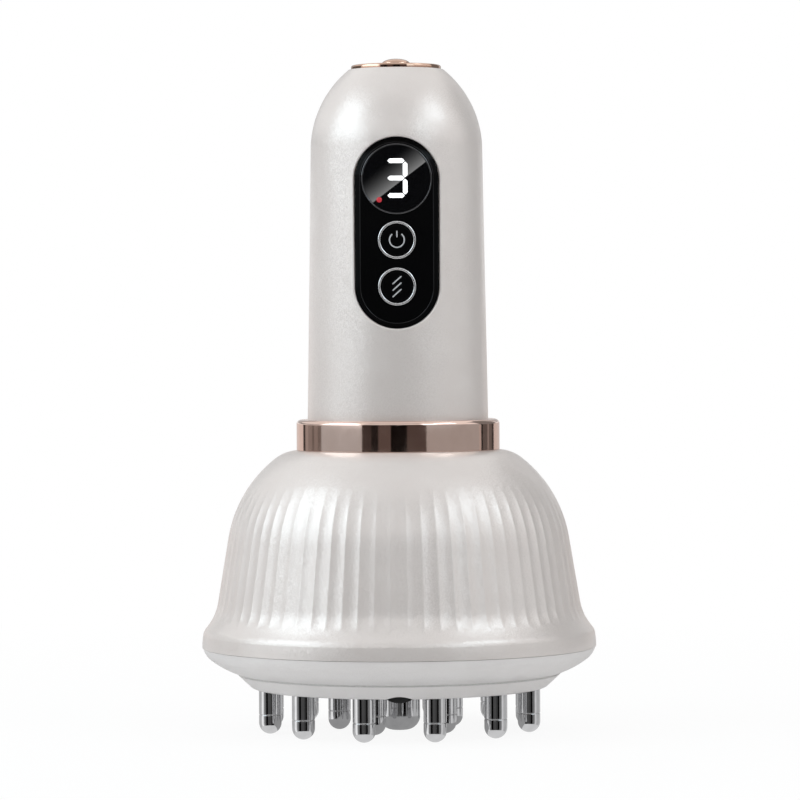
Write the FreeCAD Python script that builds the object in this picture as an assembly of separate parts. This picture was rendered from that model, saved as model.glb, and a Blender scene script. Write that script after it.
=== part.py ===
"""Electric meridian brush: a fluted vibrating head with steel massage pins on a battery handle."""
import FreeCAD, Part
import math
import os

# Lengths are millimetres and angles are degrees. The pin tips stand on z = 0, +Z runs up the handle,
# the control panel looks along -Y, and +X is on the right of somebody who looks at the panel.

# Fits shared by all pieces
slip = 0.15
key_play = 0.2
shaft_play = 0.05
overrun = 1.0

# Massage pins and their studs
pin_radius = 3.0
pin_reach = 11.5
pin_line_height = 5.1
pin_line_width = 0.3
pin_line_depth = 0.12
centre_pin_radius = 5.5
centre_pin_round = 3.8
stud_radius = 1.25
stud_spare = 0.6
nut_across = 5.0
nut_height = 2.0
pin_inset = 4.8
outer_pins = 12
outer_first_angle = 15.0
inner_circle = 16.2
inner_pins = 5
inner_first_angle = -24.0

# Pin plate, the contact plate on it and the seal round it
plate_height = 3.5
plate_floor = 2.4
plate_slope = 43.0
plate_round = 1.8
plate_rim_step = 2.7
plate_rim_wall = 1.5
notch_width = 6.8
notch_height = 0.8
notch_depth = 4.0
contact_thickness = 0.8
seal_height = 0.5
seal_inset = 0.05

# Bottom cover
cover_reach = 9.6
cover_rise = 6.9
cover_web = 2.0
cover_wall = 2.2
cover_side_round = 5.5
cover_side_lean = 14.0
cover_side_turn = 52.0
cover_edge_step = 0.2
cover_lap_clear = 0.6
cover_lap_wall = 1.6
web_gap = 0.7
seam_gap = 0.1

# Head shell
head_radius = 52.6
head_wall = 2.2
lip_wall_rise = 3.42
lip_wall_angle = 9.0
lip_round = 3.4
flare_angle = 40.6
flare_round = 14.2
draft_angle = 9.5
draft_rise = 17.2
shoulder_angle = 52.0
crown_round = 10.3
flutes = 72
flute_depth = 0.24
flute_ridge_angle = 0.2
flute_outside = 0.02
roof_lead_hole = 7.0
post_radius = 3.2
post_first_angle = 30.0
posts = 4
post_rib = 2.0
neck_height = 7.0
neck_wall = 2.0

# Stations of a flute, as shares of the flare's turn, of the draft and of the shoulder's turn, and the
# share of the full depth that the flute has at each of them
flare_station_shares = (0.28, 0.40, 0.52, 0.66, 0.82, 1.0)
draft_station_shares = (0.15, 0.5, 0.85)
shoulder_station_shares = (0.0, 0.12, 0.25, 0.38, 0.50, 0.61, 0.70)
flare_depth_shares = (-0.2, 0.25, 0.65, 0.9, 1.0, 1.0)
draft_depth_shares = (1.0, 1.0, 1.0)
shoulder_depth_shares = (1.0, 1.0, 0.95, 0.8, 0.5, 0.12, -0.3)

# Screws
screw_radius = 1.4
screw_head_radius = 2.5
screw_head_height = 1.8
screw_bite = 7.0

# Vibration motor and its housing
motor_radius = 10.2
motor_length = 25.0
motor_boss_radius = 3.0
motor_boss_height = 1.5
shaft_radius = 1.0
shaft_depth = 18.0
shaft_spare = 0.6
cushion_thickness = 0.9
housing_wall = 1.5
housing_flange = 2.2
housing_stop = 2.0
housing_clear = 0.5
retainer_thickness = 2.0
retainer_lugs = 3
lug_radius = 2.9
lug_height = 10.0
weight_radius = 9.0
weight_height = 8.0
weight_gap = 1.5
weight_room = 0.8
weight_hub_radius = 3.0

# Collar
collar_wall = 3.0
collar_height = 8.2
collar_round = 1.2
collar_overhang = 0.5

# Handle shell
handle_wall = 2.0
handle_flare = 1.2
dome_round = 27.6
cap_radius = 12.0
cap_ledge = 0.7

# Chassis and battery
foot_thickness = 5.0
foot_lead_hole = 6.0
foot_cover = 2.0
spine_thickness = 2.0
spine_half_width = 10.0
battery_radius = 9.2
battery_length = 65.0
battery_offset = 8.0
battery_slack = 0.3
battery_room = 3.7
saddle_height = 4.0
saddle_depth = 5.0
saddle_level_shares = (0.12, 0.88)
stop_thickness = 2.0
stop_half_width = 8.0
stop_reach = 7.0
contact_strip = 0.8
contact_half_width = 5.0
dome_rise = 3.8

# Charging inlet
shelf_rise = 4.9
shelf_half_width = 6.5
shelf_length = 13.0
charge_board_thickness = 1.2
inlet_width = 9.0
inlet_height = 3.2
inlet_length = 7.4
inlet_wall = 0.3
inlet_tongue_height = 0.7
inlet_tongue_set = 0.6
inlet_sink = 0.7
inlet_back = 1.4
inlet_room = 1.6

# Control panel, lens and keys
panel_width = 21.8
panel_span = 28.2
panel_side_depth = 1.54
panel_thickness = 2.8
panel_bevel_width = 1.3
panel_bevel_depth = 0.75
panel_ledge = 1.6
pocket_round = 0.35
panel_pad_rim = 2.0
panel_pad_back = 1.4
display_drop = 8.4
button_pitch = 12.2
lens_radius = 9.3
lens_thickness = 1.5
lens_proud = 0.2
lens_edge = 0.4
lens_ledge = 1.0
ring_radius = 5.0
ring_wall = 0.7
ring_depth = 1.6
ring_proud = 0.4
ring_round = 0.3
button_proud = 0.25
button_edge = 0.3
flange_overlap = 0.6
flange_thickness = 0.7
key_stem_radius = 2.0

# Main board and what stands on it
board_gap = 4.6
board_thickness = 1.2
board_half_width = 8.5
board_margin = 9.2
board_screw_inset = 2.4
board_post_radius = 2.3
module_half_width = 5.5
module_half_height = 6.5
module_gap = 0.3
switch_half_width = 3.0
switch_height = 3.2
plunger_radius = 1.5
plunger_out = 0.7
plunger_in = 1.0
plunger_room = 0.8

# End cap and its key
cap_thickness = 1.2
cap_round = 0.5
cap_skirt_wall = 1.5
cap_skirt_gap = 2.1
top_button_radius = 3.75
top_button_height = 1.8
top_button_shoulder = 0.45
top_flange_overlap = 1.3
top_flange_thickness = 0.8
top_stem_length = 1.5
top_board_thickness = 1.2

# Basic directions
V = FreeCAD.Vector
origin = V(0, 0, 0)
up = V(0, 0, 1)
rearward = V(0, 1, 0)
full_turn = 360.0


def sin(angle):
    return math.sin(math.radians(angle))


def cos(angle):
    return math.cos(math.radians(angle))


def tan(angle):
    return math.tan(math.radians(angle))


def clock_point(radius, angle, z=0):
    """Point on a level circle; the angle starts at the front (-Y) and grows towards +X."""
    return V(radius * sin(angle), -radius * cos(angle), z)


def clock_points(radius, count, first_angle, z=0):
    return [clock_point(radius, first_angle + i * full_turn / count, z) for i in range(count)]


def post(radius, low, high, at=origin):
    """Upright cylinder between two levels."""
    return Part.makeCylinder(radius, high - low, V(at.x, at.y, low))


def drills(radius, low, high, spots):
    """Upright cylinders that cut right through from one level to another at each spot."""
    return [post(radius, low - overrun, high + overrun, spot) for spot in spots]


def tube(outer, inner, low, high):
    return post(outer, low, high).cut(post(inner, low, high))


def peg(radius, front, rear, z):
    """Cylinder along Y between two depths."""
    return Part.makeCylinder(radius, rear - front, V(0, front, z), rearward)


def block(half_width, front, rear, low, high):
    """Box that is centred on x = 0."""
    return Part.makeBox(2 * half_width, rear - front, high - low, V(-half_width, front, low))


def joined(pieces):
    first = pieces[0]
    return first.fuse(pieces[1:]).removeSplitter()


def line(start, end):
    return Part.LineSegment(V(start[0], 0, start[1]), V(end[0], 0, end[1])).toShape()


def bow_point(centre, radius, angle):
    return (centre[0] + radius * cos(angle), centre[1] + radius * sin(angle))


def bow(centre, radius, first_angle, last_angle):
    """Arc in the r-z plane; the angle starts along +r and grows towards +z."""
    angles = (first_angle, (first_angle + last_angle) / 2, last_angle)
    points = [bow_point(centre, radius, angle) for angle in angles]
    return Part.Arc(*[V(r, 0, z) for r, z in points]).toShape()


def tangent_bow(start, start_angle, end):
    """Arc in the r-z plane that leaves start in a given direction and arrives at end."""
    chord = (end[0] - start[0], end[1] - start[1])
    length = math.hypot(*chord)
    turn = math.degrees(math.atan2(chord[1], chord[0])) - start_angle
    turn = (turn + full_turn / 2) % full_turn - full_turn / 2
    rise = length / 2 * tan(turn / 2)
    side = (chord[1] / length * rise, -chord[0] / length * rise)
    middle = ((start[0] + end[0]) / 2 + side[0], (start[1] + end[1]) / 2 + side[1])
    return Part.Arc(*[V(r, 0, z) for r, z in (start, middle, end)]).toShape()


def path(points):
    return [line(a, b) for a, b in zip(points, points[1:])]


def turned(edges):
    """Solid of revolution about Z from a closed outline in the r-z plane."""
    return Part.Face(Part.Wire(edges)).revolve(origin, up, full_turn)


def stadium_wire(half_width, low, high, y):
    """Outline with straight sides and round ends, whose end centres are at two levels."""
    left_low = V(-half_width, y, low)
    left_high = V(-half_width, y, high)
    right_low = V(half_width, y, low)
    right_high = V(half_width, y, high)
    return Part.Wire([
        Part.LineSegment(left_low, left_high).toShape(),
        Part.Arc(left_high, V(0, y, high + half_width), right_high).toShape(),
        Part.LineSegment(right_high, right_low).toShape(),
        Part.Arc(right_low, V(0, y, low - half_width), left_low).toShape(),
    ])


def stadium(half_width, low, high, front, rear):
    return Part.Face(stadium_wire(half_width, low, high, front)).extrude(V(0, rear - front, 0))


def slot(width, height, z, front, rear):
    """Lying stadium along Y, as wide and as high as said."""
    side = width / 2 - height / 2
    ends = [Part.makeCylinder(height / 2, rear - front, V(x, front, z), rearward) for x in (-side, side)]
    return joined([block(side, front, rear, z - height / 2, z + height / 2)] + ends)


def screw(shank_length):
    """Pan-head screw that points up from z = 0, with its head below."""
    shank = post(screw_radius, 0, shank_length)
    head = post(screw_head_radius, -screw_head_height, 0)
    return shank.fuse(head).removeSplitter()


def screws_at(spots, level, shank_length):
    """Equal screws at several spots, their heads under one level."""
    return Part.makeCompound([screw(shank_length).translated(V(p.x, p.y, level)) for p in spots])


# Radii of the handle round its cell and of what follows from it and from the head
handle_top_radius = battery_offset + battery_radius + battery_room + handle_wall
handle_foot_radius = handle_top_radius + handle_flare
collar_radius = handle_foot_radius + collar_wall
plate_radius = head_radius - cover_reach
plate_rim_radius = plate_radius - plate_rim_step
outer_circle = plate_rim_radius - pin_inset

# Levels of the head, from the pin tips up
plate_low = pin_reach
floor_top = plate_low + plate_floor
stud_top = floor_top + contact_thickness + nut_height + stud_spare
plate_line = plate_low + plate_height
cover_low = plate_line + seal_height
web_low = stud_top + web_gap
web_top = web_low + cover_web
seam = cover_low + cover_rise

# Outline of the bell: lip wall, lip, concave flare, straight draft, shoulder and crown, all tangent
lip_wall_round = lip_wall_rise / sin(lip_wall_angle)
lip_wall_centre = (head_radius - lip_wall_round, seam)
lip_wall_end = bow_point(lip_wall_centre, lip_wall_round, lip_wall_angle)
lip_centre = bow_point(lip_wall_end, -lip_round, lip_wall_angle)
lip_end = bow_point(lip_centre, lip_round, flare_angle)
flare_centre = bow_point(lip_end, flare_round, flare_angle)
flare_end = bow_point(flare_centre, -flare_round, draft_angle)
draft_end = (flare_end[0] - draft_rise * tan(draft_angle), flare_end[1] + draft_rise)
crown_edge = collar_radius - collar_overhang
shoulder_reach = draft_end[0] - crown_edge - crown_round * cos(shoulder_angle)
shoulder_round = shoulder_reach / (cos(draft_angle) - cos(shoulder_angle))
shoulder_centre = bow_point(draft_end, -shoulder_round, draft_angle)
shoulder_end = bow_point(shoulder_centre, shoulder_round, shoulder_angle)
crown_centre = bow_point(shoulder_end, -crown_round, shoulder_angle)
roof = crown_centre[1] + crown_round
roof_low = roof - head_wall
cover_lap_top = seam + lip_wall_rise - cover_lap_clear

# Levels of the motor under the roof
motor_high = roof_low - housing_flange
motor_low = motor_high - motor_length
retainer_low = motor_low - retainer_thickness
weight_high = retainer_low - weight_gap
weight_low = weight_high - weight_height
housing_bore = motor_radius + cushion_thickness
housing_radius = housing_bore + housing_wall
weight_hole = weight_radius + weight_room
neck_screw_circle = housing_radius + screw_head_radius + housing_clear
lug_circle = housing_radius + screw_radius

# Levels of the handle
collar_high = roof + collar_height
foot_top = roof + foot_thickness
neck_screw_top = foot_top - foot_cover
charge_board_low = foot_top + shelf_rise
charge_board_high = charge_board_low + charge_board_thickness
inlet_level = charge_board_high + inlet_height / 2
stop_low = charge_board_high + inlet_height + inlet_room
battery_low = stop_low + stop_thickness + contact_strip
battery_high = battery_low + battery_length
chassis_top = battery_high + contact_strip + stop_thickness
dome_low = battery_high - dome_rise
dome_centre = (handle_top_radius - dome_round, dome_low)
cap_seat_radius = cap_radius + cap_ledge
dome_angle = math.degrees(math.acos((cap_seat_radius - dome_centre[0]) / dome_round))
cap_seat = dome_low + dome_round * sin(dome_angle)
foot_bore = handle_foot_radius - handle_wall
cap_skirt_radius = cap_radius - cap_skirt_gap

# Levels and depths of the control panel
display_level = dome_low - display_drop
level_level = display_level - panel_span
power_level = level_level + button_pitch
panel_rear = panel_side_depth - math.sqrt(handle_top_radius ** 2 - (panel_width / 2) ** 2)
panel_face = panel_rear - panel_thickness
board_front = panel_rear + board_gap
board_rear = board_front + board_thickness
board_low = level_level - board_margin
board_high = display_level + board_margin
board_screw_side = board_half_width - board_screw_inset
upper_screw_level = (display_level - module_half_height + power_level + switch_half_width) / 2
board_screw_levels = (board_low + board_screw_inset, upper_screw_level)
board_screw_spots = [(x, z) for x in (-board_screw_side, board_screw_side) for z in board_screw_levels]
ring_rear = panel_face + ring_depth
ring_bore = ring_radius - ring_wall
button_radius = ring_bore - slip
flange_radius = button_radius + flange_overlap
flange_front = ring_rear + key_play
switch_front = board_front - switch_height
plunger_tip = switch_front - plunger_out
spine_rear = battery_offset - battery_radius - battery_slack
spine_front = spine_rear - spine_thickness

# Levels of the end cap's key
top_flange_radius = top_button_radius + top_flange_overlap
top_flange_high = cap_seat - key_play
top_flange_low = top_flange_high - top_flange_thickness
top_plunger_tip = top_flange_low - top_stem_length
top_switch_high = top_plunger_tip - plunger_out
top_switch_low = top_switch_high - switch_height
top_board_low = top_switch_low - top_board_thickness

# Places that repeat
outer_spots = clock_points(outer_circle, outer_pins, outer_first_angle)
inner_spots = clock_points(inner_circle, inner_pins, inner_first_angle)
stud_spots = outer_spots + inner_spots + [origin]
post_angles = [post_first_angle + i * full_turn / posts for i in range(posts)]
post_spots = [clock_point(outer_circle, angle) for angle in post_angles]
neck_screw_spots = clock_points(neck_screw_circle, posts, post_first_angle)
lug_spots = clock_points(lug_circle, retainer_lugs, 0)


def massage_pin():
    """Round-nosed pin with a fine turned line, and the stud that goes up through the plate."""
    line_low = pin_line_height - pin_line_width / 2
    line_high = pin_line_height + pin_line_width / 2
    nose_centre = (0, pin_radius)
    groove = pin_radius - pin_line_depth
    side = [
        (pin_radius, pin_radius),
        (pin_radius, line_low),
        (groove, line_low),
        (groove, line_high),
        (pin_radius, line_high),
        (pin_radius, plate_low),
        (stud_radius, plate_low),
        (stud_radius, stud_top),
        (0, stud_top),
        (0, 0),
    ]
    return turned([bow(nose_centre, pin_radius, -full_turn / 4, 0)] + path(side))


def centre_massage_pin():
    """Wide pin with a small flat nose and a large round at its edge."""
    round_centre = (centre_pin_radius - centre_pin_round, centre_pin_round)
    side = [
        (centre_pin_radius, centre_pin_round),
        (centre_pin_radius, plate_low),
        (stud_radius, plate_low),
        (stud_radius, stud_top),
        (0, stud_top),
        (0, 0),
        (round_centre[0], 0),
    ]
    return turned([bow(round_centre, centre_pin_round, -full_turn / 4, 0)] + path(side))


def stud_holes(radius, low, high):
    return [post(radius, low, high, spot) for spot in stud_spots]


def pin_plate():
    """Dished plate with a rounded lower edge, a rim that plugs into the cover, and a pry notch."""
    edge_level = plate_low + plate_round * (1 - cos(plate_slope))
    edge_radius = plate_radius - (plate_line - edge_level) / tan(plate_slope)
    round_centre = (edge_radius - plate_round * sin(plate_slope), plate_low + plate_round)
    rim_bore = plate_rim_radius - plate_rim_wall
    upper = [
        (edge_radius, edge_level),
        (plate_radius, plate_line),
        (plate_rim_radius, plate_line),
        (plate_rim_radius, web_low - slip),
        (rim_bore, web_low - slip),
        (rim_bore, floor_top),
        (0, floor_top),
        (0, plate_low),
        (round_centre[0], plate_low),
    ]
    down = -full_turn / 4
    plate = turned([bow(round_centre, plate_round, down, down + plate_slope)] + path(upper))
    notch_round = (notch_width ** 2 / 4 + notch_height ** 2) / (2 * notch_height)
    notch_level = plate_low + notch_height - notch_round
    notch = peg(notch_round, -plate_radius - overrun, notch_depth - round_centre[0], notch_level)
    return plate.cut(stud_holes(stud_radius + slip, plate_low - overrun, floor_top + overrun) + [notch])


def contact_plate():
    """Thin plate on the pin plate's floor, with a hole for each stud."""
    radius = plate_rim_radius - plate_rim_wall - slip
    high = floor_top + contact_thickness
    return post(radius, floor_top, high).cut(stud_holes(stud_radius + slip, floor_top, high))


def pin_nuts():
    """One hexagon nut on each stud, with a flat turned outwards."""
    low = floor_top + contact_thickness
    corner = nut_across / 2 / cos(full_turn / 12)
    nuts = []
    for spot in stud_spots:
        ring = [clock_point(corner, full_turn / 6 * i + full_turn / 12, low) for i in range(7)]
        nut = Part.Face(Part.makePolygon(ring)).extrude(V(0, 0, nut_height))
        nut = nut.cut(post(stud_radius + shaft_play, low, low + nut_height))
        nut.rotate(origin, up, math.degrees(math.atan2(spot.x, -spot.y)))
        nuts.append(nut.translated(spot))
    return Part.makeCompound(nuts)


def plate_seal():
    return tube(plate_radius - seal_inset, plate_rim_radius + slip, plate_line, cover_low)


def bottom_cover():
    """Lower half of the lip: a curved skirt, a web across the head and a lap that enters the shell."""
    side_top = (head_radius - cover_edge_step, seam - seam_gap)
    side_centre = bow_point(side_top, -cover_side_round, -cover_side_lean)
    side_end = bow_point(side_centre, cover_side_round, -cover_side_turn)
    foot = (plate_radius + cover_edge_step, cover_low)
    lap_radius = head_radius - head_wall - 3 * slip
    lap_bore = lap_radius - cover_lap_wall
    inside = [
        foot,
        (plate_rim_radius + slip, cover_low),
        (plate_rim_radius + slip, web_low),
        (weight_hole, web_low),
        (weight_hole, web_top),
        (foot[0] + cover_wall, web_top),
        (lap_bore, web_top + cover_wall),
        (lap_bore, cover_lap_top),
        (lap_radius, cover_lap_top),
        (lap_radius, seam - seam_gap),
        side_top,
    ]
    side = bow(side_centre, cover_side_round, -cover_side_lean, -cover_side_turn)
    belly = tangent_bow(side_end, -cover_side_turn - full_turn / 4, foot)
    cover = turned([side, belly] + path(inside))
    return cover.cut(drills(screw_radius + slip, web_low, web_top, post_spots))


def bell_side(inset):
    """Edges of the bell's outline from the seam to the crown, moved inwards by inset."""
    draft_low = bow_point(flare_centre, -flare_round - inset, draft_angle)
    draft_high = bow_point(shoulder_centre, shoulder_round - inset, draft_angle)
    concave = full_turn / 2
    return [
        bow(lip_wall_centre, lip_wall_round - inset, 0, lip_wall_angle),
        bow(lip_centre, lip_round - inset, lip_wall_angle, flare_angle),
        bow(flare_centre, flare_round + inset, concave + flare_angle, concave + draft_angle),
        line(draft_low, draft_high),
        bow(shoulder_centre, shoulder_round - inset, draft_angle, shoulder_angle),
        bow(crown_centre, crown_round - inset, shoulder_angle, full_turn / 4),
    ]


def bell_outline(inset):
    """Half section of the bell, closed along the roof, the axis and the seam."""
    closing = [(crown_edge, roof - inset), (0, roof - inset), (0, seam), (head_radius - inset, seam)]
    return Part.Face(Part.Wire(bell_side(inset) + path(closing)))


def bell(inset):
    return bell_outline(inset).revolve(origin, up, full_turn)


def flute_stations():
    """Points of the bell's outline from the flare to the shoulder, each with the flute's depth there."""
    stations = []
    for share, depth in zip(flare_station_shares, flare_depth_shares):
        angle = flare_angle + share * (draft_angle - flare_angle)
        stations.append((bow_point(flare_centre, -flare_round, angle), depth * flute_depth))
    for share, depth in zip(draft_station_shares, draft_depth_shares):
        level = flare_end[1] + share * draft_rise
        radius = flare_end[0] - share * draft_rise * tan(draft_angle)
        stations.append(((radius, level), depth * flute_depth))
    for share, depth in zip(shoulder_station_shares, shoulder_depth_shares):
        angle = draft_angle + share * (shoulder_angle - draft_angle)
        stations.append((bow_point(shoulder_centre, shoulder_round, angle), depth * flute_depth))
    return stations


def flute_cutter():
    """Scoop for the front flute, lofted through shallow hollow sections that run out at both ends."""
    half_angle = full_turn / flutes / 2 - flute_ridge_angle / 2
    sections = []
    for (radius, level), depth in flute_stations():
        outside = radius + flute_outside + flute_depth
        edge = radius + flute_outside
        left_edge = clock_point(edge, -half_angle, level)
        right_edge = clock_point(edge, half_angle, level)
        left_out = clock_point(outside, -half_angle, level)
        right_out = clock_point(outside, half_angle, level)
        middle = clock_point(radius - depth, 0, level)
        sections.append(Part.Wire([
            Part.Arc(left_edge, middle, right_edge).toShape(),
            Part.LineSegment(right_edge, right_out).toShape(),
            Part.LineSegment(right_out, left_out).toShape(),
            Part.LineSegment(left_out, left_edge).toShape(),
        ]))
    return Part.makeLoft(sections, True, False)


def is_sector_side(face):
    """True for the two upright flat faces where a sector meets its neighbours."""
    return isinstance(face.Surface, Part.Plane) and abs(face.normalAt(0, 0).z) < cos(full_turn / 8)


def fluted_bell():
    """Solid bell: one sector with its flute, repeated round the axis and sewn to its neighbours."""
    pitch = full_turn / flutes
    outline = bell_outline(0)
    outline.rotate(origin, up, -full_turn / 4 - pitch / 2)
    sector = outline.revolve(origin, up, pitch).cut(flute_cutter())
    skin = Part.makeCompound([face for face in sector.Faces if not is_sector_side(face)])
    faces = []
    for i in range(flutes):
        copy = skin.copy()
        copy.rotate(origin, up, i * pitch)
        faces += copy.Faces
    return Part.Solid(Part.Shell(faces)).removeSplitter()


def head_shell():
    """Fluted bell with a roof, a neck for the handle, and ribbed posts for the cover screws."""
    room = bell(head_wall)
    rib_low = cover_lap_top + slip
    feet = []
    for angle, spot in zip(post_angles, post_spots):
        rib = block(post_rib / 2, -head_radius, -outer_circle, rib_low, roof)
        rib.rotate(origin, up, angle)
        room = room.cut([rib, post(post_radius, seam, roof, spot)])
        feet.append(post(post_radius, web_top, seam, spot))
    neck = tube(foot_bore - slip, foot_bore - slip - neck_wall, roof, roof + neck_height)
    shell = fluted_bell().cut(room).fuse(feet + [neck]).removeSplitter()
    holes = drills(roof_lead_hole, roof_low, roof, [origin])
    holes += drills(screw_radius + slip, roof_low, roof, neck_screw_spots)
    holes += drills(screw_radius + shaft_play, web_top, web_top + screw_bite, post_spots)
    return shell.cut(holes)


def motor_housing():
    """Cup that hangs under the roof: flange with screw holes, upper stop, and lugs for the retainer."""
    cup = tube(housing_radius, housing_bore, motor_low, roof_low)
    flange_radius = neck_screw_circle + screw_head_radius
    flange = tube(flange_radius, motor_radius - housing_stop, motor_high, roof_low)
    lugs = [post(lug_radius, motor_low, motor_low + lug_height, p) for p in lug_spots]
    bore = post(housing_bore, motor_low - overrun, motor_high)
    housing = cup.fuse([flange] + lugs).cut(bore).removeSplitter()
    holes = drills(screw_radius + slip, motor_high, roof_low, neck_screw_spots)
    holes += drills(screw_radius + shaft_play, motor_low, motor_low + screw_bite, lug_spots)
    return housing.cut(holes)


def motor_retainer():
    """Plate under the motor, with lugs that match the housing's and a hole for the motor's boss."""
    plate = post(housing_radius, retainer_low, motor_low)
    lugs = [post(lug_radius, retainer_low, motor_low, p) for p in lug_spots]
    holes = drills(motor_boss_radius + key_play, retainer_low, motor_low, [origin])
    holes += drills(screw_radius + slip, retainer_low, motor_low, lug_spots)
    return plate.fuse(lugs).cut(holes).removeSplitter()


def vibration_motor():
    """Round motor can with a bearing boss and a blind bore for its shaft."""
    can = post(motor_radius, motor_low, motor_high)
    boss = post(motor_boss_radius, motor_low - motor_boss_height, motor_low)
    bore_high = motor_low + shaft_depth + key_play
    bore = post(shaft_radius + shaft_play, motor_low - motor_boss_height - overrun, bore_high)
    return can.fuse(boss).removeSplitter().cut(bore)


def eccentric_weight():
    """Half disc with a hub, pressed on the shaft."""
    disc = Part.makeCylinder(weight_radius, weight_height, V(0, 0, weight_low), up, full_turn / 2)
    hub = post(weight_hub_radius, weight_low, weight_high)
    return disc.fuse(hub).removeSplitter().cut(post(shaft_radius, weight_low, weight_high))


def collar():
    """Polished band with rounded upper edge."""
    bore = handle_foot_radius + slip
    round_centre = (collar_radius - collar_round, collar_high - collar_round)
    side = [
        (collar_radius - collar_round, collar_high),
        (bore, collar_high),
        (bore, roof),
        (collar_radius, roof),
        (collar_radius, round_centre[1]),
    ]
    return turned([bow(round_centre, collar_round, 0, full_turn / 4)] + path(side))


def handle_body(inset):
    """Solid bullet under the handle's outline, moved inwards by inset."""
    foot = handle_foot_radius - inset
    radius = dome_round - inset
    top = dome_centre[1] + radius * sin(dome_angle)
    top_radius = dome_centre[0] + radius * cos(dome_angle)
    dome = bow(dome_centre, radius, 0, dome_angle)
    side = [(0, top), (0, roof), (foot, roof), (foot, collar_high), (handle_top_radius - inset, dome_low)]
    return turned([dome] + path([(top_radius, top)] + side))


def handle_shell():
    """One-piece bullet with a round-edged panel pocket, a charging slot and an opening for the cap."""
    shell = handle_body(0).cut(handle_body(handle_wall))
    half = panel_width / 2
    front = -handle_foot_radius - overrun
    pad_rear = panel_rear + panel_pad_back
    pad = stadium(half + panel_pad_rim, level_level, display_level, front, pad_rear)
    shell = shell.fuse(pad.common(handle_body(handle_wall / 2))).removeSplitter()
    pocket = stadium(half + slip, level_level, display_level, front, panel_rear)
    window = stadium(half - panel_ledge, level_level, display_level, front, pad_rear + overrun)
    opening = post(cap_skirt_radius + slip, top_board_low, cap_seat + overrun)
    outside = handle_foot_radius + overrun
    inlet = slot(inlet_width + 2 * slip, inlet_height + 2 * slip, inlet_level, 0, outside)
    shell = shell.cut([pocket, window, opening, inlet]).Solids[0]
    rim = [edge for edge in shell.Edges if edge.BoundBox.YMax < panel_rear - slip]
    return shell.makeFillet(pocket_round, rim)


def chassis():
    """Inner frame: foot on the head's roof, spine with battery stops and saddles, shelf and board posts."""
    foot = post(foot_bore - 2 * slip - neck_wall, roof, foot_top)
    spine = block(spine_half_width, spine_front, spine_rear, foot_top, chassis_top)
    shelf = block(shelf_half_width, spine_rear, spine_rear + shelf_length, foot_top, charge_board_low)
    parts = [foot, spine, shelf]
    reach = battery_offset + stop_reach
    parts.append(block(stop_half_width, spine_rear, reach, stop_low, stop_low + stop_thickness))
    parts.append(block(stop_half_width, spine_rear, reach, chassis_top - stop_thickness, chassis_top))
    for share in saddle_level_shares:
        saddle_low = battery_low + share * battery_length - saddle_height / 2
        saddle_high = saddle_low + saddle_height
        saddle_rear = spine_rear + saddle_depth
        parts.append(block(spine_half_width, spine_rear, saddle_rear, saddle_low, saddle_high))
    for x, z in board_screw_spots:
        stand = peg(board_post_radius, board_rear, spine_front, z)
        parts.append(stand.translated(V(x, 0, 0)))
    frame = joined(parts)
    cuts = [post(battery_radius + battery_slack, battery_low, battery_high, V(0, battery_offset, 0))]
    cuts.append(post(foot_lead_hole, roof - overrun, foot_top, V(0, spine_front - foot_lead_hole, 0)))
    cuts += drills(screw_radius + shaft_play, roof, neck_screw_top, neck_screw_spots)
    for x, z in board_screw_spots:
        hole = peg(screw_radius + shaft_play, board_rear - overrun, board_rear + screw_bite + overrun, z)
        cuts.append(hole.translated(V(x, 0, 0)))
    return frame.cut(cuts)


def battery_contacts():
    """A metal strip under each end of the cell."""
    reach = battery_offset + stop_reach
    lower = block(contact_half_width, spine_rear, reach, battery_low - contact_strip, battery_low)
    upper = block(contact_half_width, spine_rear, reach, battery_high, battery_high + contact_strip)
    return Part.makeCompound([lower, upper])


def charge_board():
    rear = foot_bore - inlet_back
    return block(shelf_half_width - slip, spine_rear + slip, rear, charge_board_low, charge_board_high)


def charge_socket():
    """Flat oval metal inlet with a contact tongue, its mouth in the handle's wall."""
    mouth = handle_foot_radius - inlet_sink
    front = mouth - inlet_length
    bore_width = inlet_width - 2 * inlet_wall
    bore_height = inlet_height - 2 * inlet_wall
    bore = slot(bore_width, bore_height, inlet_level, front + inlet_wall, mouth + overrun)
    shell = slot(inlet_width, inlet_height, inlet_level, front, mouth).cut(bore)
    half = bore_width / 2 - bore_height / 2
    tongue_low = inlet_level - inlet_tongue_height / 2
    tongue_high = tongue_low + inlet_tongue_height
    tongue = block(half, front, mouth - inlet_tongue_set, tongue_low, tongue_high)
    return shell.fuse(tongue).removeSplitter()


def main_board():
    board = block(board_half_width, board_front, board_rear, board_low, board_high)
    holes = [
        peg(screw_radius + slip, board_front - overrun, board_rear + overrun, z).translated(V(x, 0, 0))
        for x, z in board_screw_spots
    ]
    return board.cut(holes)


def board_screws():
    screws = []
    for x, z in board_screw_spots:
        turned_screw = screw(board_thickness + screw_bite)
        turned_screw.rotate(origin, V(1, 0, 0), -full_turn / 4)
        screws.append(turned_screw.translated(V(x, board_front, z)))
    return Part.makeCompound(screws)


def display_module():
    front = panel_rear + module_gap
    low = display_level - module_half_height
    high = display_level + module_half_height
    return block(module_half_width, front, board_front, low, high)


def key_switch(z):
    """Push switch on the main board, with a blind hole for its plunger."""
    body = block(switch_half_width, switch_front, board_front, z - switch_half_width, z + switch_half_width)
    hole = peg(plunger_radius + slip, switch_front - overrun, switch_front + plunger_in + plunger_room, z)
    return body.cut(hole)


def key_plunger(z):
    return peg(plunger_radius, plunger_tip, switch_front + plunger_in, z)


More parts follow.
